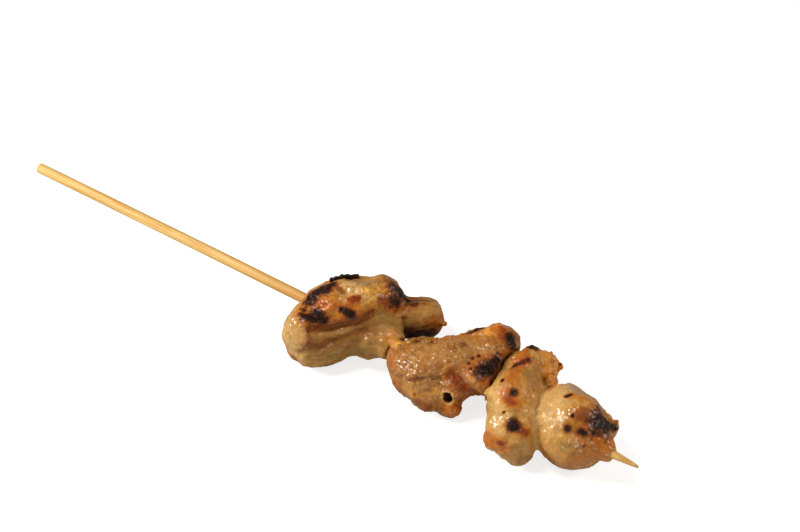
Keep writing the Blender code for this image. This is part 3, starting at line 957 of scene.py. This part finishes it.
dash = [(140.9, 5.6, 15), (142, 6.4, 15.5), (143.1, 7.4, 15.8), (144.1, 9.3, 15.7)]
brush(tip_end, "orange", 1.5, *dash, strength=0.7, ragged=0.7)
brush(tip_end, "red", 0.8, *dash, strength=0.8, ragged=0.9)
brush(tip_end, "dark", 0.42, *dash, strength=0.8, ragged=0.9)
for radius, halo, *places in (
    (0.6, 0.3, (141.9, 13.2, 15.7), (143, 13.8, 15.4)),
    (0.5, 0.15, (142.5, -0.1, 16.4)),
    (0.65, 0.5, (146.9, -1.8, 16.1)),
    (0.3, 0.15, (148, -7.7, 15.4)),
    (1.3, 0.3, (151.6, -9.2, 14.4)),
    (0.22, 0.3, (148.4, 16.4, 10.4)),
    (0.3, 0.3, (151.6, 6.5, 13.7)),
    (0.3, 0.2, (158.8, 1.9, 18.8), (159.5, 3, 19)),
    (0.4, 0.15, (162.8, -1.7, 18)),
    (0.6, 0.4, (163.2, -4.2, 16.2)),
    (0.55, 0.6, (166, -3, 15.9), (166.9, -2.7, 15.4)),
    (0.45, 0.8, (168.3, -1, 14.9)),
    (0.22, 0.3, (167.6, -4, 12.7)),
    (1.9, 1.5, (167.8, 1.8, 16.1), (168.9, 2.8, 14.9)),
    (1.4, 1.0, (166.8, 5.8, 16), (169.4, 3.6, 14.4)),
    (0.9, 0.5, (170.4, 5, 13), (170.8, 5.6, 12.2)),
):
    burn(tip_end, radius, *places, halo=halo, ragged=0.3 if radius < 1.35 else 0.6)
tip_end["wet"] = 0.7 + 0.3 * patch(home, [(154, 0, 14), (158, -4.5, 14.8), (163, -6, 13)], 3.5, 1.0)
tip_end["wet"] -= 0.5 * patch(home, [(143.6, -9.2, 5.4), (146.8, -11.8, 8.6)], 2.4, 1.0)
print(f"burnt black: {100 * np.mean(tip_end['char'] > 0.5):.1f}% of the points")

# %% Wrinkle the chunk at the tip end and finish it
hatch = lumpy(fibrous(home, (0.3, -0.4, -0.8), 2.0), 1.2, 2, 46.0)
ball = smooth_step(150, 156, home[:, 0])
heights = 0.16 * lumpy(home, 3.2, 3, 41.0)
heights += 0.06 * (wrinkled(home, 1.6, 44.0) - 0.5)
glints = patch(home, [(152.6, 0.4, 13), (157, -4, 15), (163.5, -6.2, 13)], 3.2, 1.0)
heights += ball * (0.1 + 0.2 * glints) * hatch
heights += 0.24 * (1 - ball) * lumpy(fibrous(home, (0.15, -1, -0.25), 2.5), 1.2, 2, 48.0)
heights += fringe * (0.6 * lumpy(home, 1.4, 3, 49.0) + 0.35 * lumpy(home, 0.8, 2, 50.0))
heights += tip_end["char"] * (0.2 * blistered(home, 0.8, 45.0) - 0.05)
print(f"relief from {heights.min():.2f} to {heights.max():.2f} mm")
swell(tip_end, heights)
keep_paint(tip_end)
finish_piece(tip_end["skin"], "chicken_tip_end", chicken)

# %% [markdown]
# ## Charred flake
#
# On the crest of the first chunk a thin edge of skin has curled up and burnt to a crisp. It is a
# separate piece, because it is far thinner than the meat's own mesh could show: a strip of little
# squares, bent along the crest, torn along its top, and made 0.7 mm thick by a Solidify modifier.

# %% Charred flake
FLAKE_COLUMNS, FLAKE_ROWS = 44, 6
FLAKE_HEIGHT, FLAKE_THICKNESS, FLAKE_ROOT = 1.5, 0.7, 0.6
FLAKE_FEET = ((90.3, 3.5), (92.8, 6.1), (95.2, 9))
WELL_ABOVE = 40.0

# A ray dropped on the finished skin finds how high the crest is at each foot.
skin_mesh = handle_end["skin"].data
skin_tree = BVHTree.FromPolygons(
    [point.co for point in skin_mesh.vertices], [face.vertices for face in skin_mesh.polygons]
)
crest = []
for along, across in FLAKE_FEET:
    above = TO_METRES @ Vector((along, across, WELL_ABOVE))
    crest.append(TO_KEBAB @ skin_tree.ray_cast(above, Vector((0, 0, -1)))[0])

strip = bmesh.new()
bmesh.ops.create_grid(strip, x_segments=FLAKE_COLUMNS, y_segments=FLAKE_ROWS, size=0.5)
for point in strip.verts:
    run, rise = point.co.x + 0.5, point.co.y + 0.5
    foot = crest[0].lerp(crest[1], 2 * run) if run < 0.5 else crest[1].lerp(crest[2], 2 * run - 1)
    torn = 0.85 + 0.3 * noise.fractal(Vector((run * 7, 0.3, 5.0)), 0.9, 2.0, 3)
    waver = 0.16 * noise.noise(Vector((run * 8, rise * 2, 9.0)))
    height = (FLAKE_HEIGHT * (1.1 - 0.3 * run) + FLAKE_ROOT) * rise * torn - FLAKE_ROOT
    point.co = foot + Vector((0.7 * waver, -0.7 * waver, height))
flake = add_piece("charred_flake", strip)
shell = flake.modifiers.new("crisp", "SOLIDIFY")
shell.thickness = FLAKE_THICKNESS
shell.offset = 0.0
rounding = flake.modifiers.new("rounded", "SUBSURF")
rounding.levels = rounding.render_levels = 1
settle(flake)
points_of_flake = len(flake.data.vertices)
for name, value in (("char", 1.0), ("wet", 0.3)):
    mask = flake.data.attributes.new(name, "FLOAT", "POINT")
    mask.data.foreach_set("value", np.full(points_of_flake, value, dtype=np.float32))
crisp = flake.data.color_attributes.new("browning_with_painted_shade_and_light", "FLOAT_COLOR", "POINT")
dark = np.array(colour(TONES["dark"]), dtype=np.float32)
crisp.data.foreach_set("color", np.tile(dark, points_of_flake))
finish_piece(flake, None, chicken)
print(f"flake: {points_of_flake} points")

# %% [markdown]
# ## Bamboo skewer
#
# A skewer is split bamboo turned round. The solid is right but coarse, so a finer stick replaces it.
# A cylinder and a cone would do, but the stick bows a little and its point is turned to a curve. So
# it starts as a circle and is drawn out ring by ring, with a rounded blunt end.

# %% Draw out the stick
STICK_SIDES, STICK_RINGS, POINT_RINGS = 40, 60, 12
POINT_LENGTH, POINT_RADIUS, POINT_FULLNESS = 11.0, 0.3, 1.25
END_ROUNDING = 0.25

# Every station is a distance along the stick and its radius there.
stations = [(0.0, STICK_RADIUS - END_ROUNDING), (0.08, STICK_RADIUS - 0.1), (END_ROUNDING, STICK_RADIUS)]
shoulder = STICK_LENGTH - POINT_LENGTH
stations += [(along, STICK_RADIUS) for along in np.linspace(3, shoulder, STICK_RINGS)]
for share in np.linspace(0.08, 1, POINT_RINGS):
    taper = (1 - share) ** (1 / POINT_FULLNESS)
    radius = POINT_RADIUS + (STICK_RADIUS - POINT_RADIUS) * taper
    stations.append((shoulder + POINT_LENGTH * share, radius))

stick = bmesh.new()
upright = Matrix.Rotation(math.radians(90), 4, "Y")
middle_before, radius_before = Vector((0, 0, stick_height(0))), stations[0][1]
lay = Matrix.Translation(middle_before) @ upright
bmesh.ops.create_circle(stick, segments=STICK_SIDES, radius=radius_before, cap_ends=True, matrix=lay)
rim = list(stick.edges)
for along, radius in stations[1:]:
    drawn = bmesh.ops.extrude_edge_only(stick, edges=rim)["geom"]
    ring = [part for part in drawn if isinstance(part, bmesh.types.BMVert)]
    edges = [part for part in drawn if isinstance(part, bmesh.types.BMEdge)]
    rim = [edge for edge in edges if edge.verts[0] in ring and edge.verts[1] in ring]
    middle_now = Vector((along, 0, stick_height(along)))
    bmesh.ops.translate(stick, vec=middle_now - middle_before, verts=ring)
    grow = radius / radius_before
    bmesh.ops.scale(stick, vec=(1, grow, grow), space=Matrix.Translation(-middle_now), verts=ring)
    middle_before, radius_before = middle_now, radius
bmesh.ops.contextual_create(stick, geom=rim)
bmesh.ops.recalc_face_normals(stick, faces=stick.faces)


def place_in_line(face):
    """A number that rises ring by ring along the stick, and corner by corner round each ring."""
    first, second, third = sorted(corner.index for corner in face.verts)[:3]
    return (first * len(stick.verts) + second) * len(stick.verts) + third


# Extruding leaves the faces in no fixed order, so they are sorted, and every run makes the same mesh.
stick.verts.index_update()
stick.faces.sort(key=place_in_line)
skewer = add_piece("bamboo_stick", stick)
print(f"stick: {len(skewer.data.polygons)} faces")

# %% Toast the stick
# The stick browned in front of the first chunk, and on the short bare stretch behind it.
along_stick = read_vectors(skewer.data, "co")[:, 0]
toast = 0.5 * smooth_step(60, 90, along_stick) + 0.4 * smooth_step(84, 90, along_stick)
toast *= smooth_step(100, 92, along_stick)
toast += 0.9 * smooth_step(106, 108, along_stick) * smooth_step(118, 116, along_stick)
mask = skewer.data.attributes.new("toast", "FLOAT", "POINT")
mask.data.foreach_set("value", toast.astype(np.float32))
print(f"toasted: {100 * np.mean(toast > 0.5):.0f}% of the stick's points")

# %% [markdown]
# ## Split bamboo
#
# Bamboo is a bundle of pale yellow fibres that run the whole length of the stick. They could be drawn
# as fine lines, but noise stretched along the stick has their soft, uneven look. Real fibres are 0.1
# to 0.2 mm apart, too fine to show, so these are 0.35 mm, with broader streaks of 1.2 mm.

# %% Split bamboo
FIBRE_SIZE, STREAK_SIZE = 0.35, 1.2
GRAIN_SQUEEZE = 0.03
RIB_DEPTH = 0.1


def split_bamboo():
    """Straw-coloured fibres along the stick, sanded but not varnished, browned where toasted."""
    material = empty_material("split bamboo")
    place = add_node(material, "ShaderNodeTexCoord").outputs["Object"]
    toast = add_node(material, "ShaderNodeAttribute", attribute_name="toast").outputs["Fac"]
    along_grain = add_node(
        material, "ShaderNodeMapping", {"Vector": place, "Scale": (GRAIN_SQUEEZE, 1.0, 1.0)}
    ).outputs["Vector"]
    fibres = speckle(material, along_grain, FIBRE_SIZE, 4.0)
    streaks = speckle(material, along_grain, STREAK_SIZE, 2.0)
    straw = blended(material, mapped(material, fibres, 0.35, 0.65), colour("#dba653"), colour("#f3cd80"))
    streaked = blended(material, mapped(material, streaks, 0.5, 0.75, 0, 0.6), straw, colour("#c9893a"))
    surface = blended(material, toast, streaked, colour("#cc8426"))
    ribs = add_node(
        material,
        "ShaderNodeBump",
        {"Height": fibres, "Strength": 0.5, "Distance": RIB_DEPTH * MM},
    ).outputs["Normal"]
    shader = add_node(
        material,
        "ShaderNodeBsdfPrincipled",
        {"Base Color": surface, "Roughness": 0.5, "IOR": 1.5, "Normal": ribs},
    )
    add_node(material, "ShaderNodeOutputMaterial", {"Surface": shader.outputs["BSDF"]})
    return material


bamboo = split_bamboo()
finish_piece(skewer, "bamboo_skewer", bamboo)
print(f"{bamboo.name}: {len(bamboo.node_tree.nodes)} nodes")
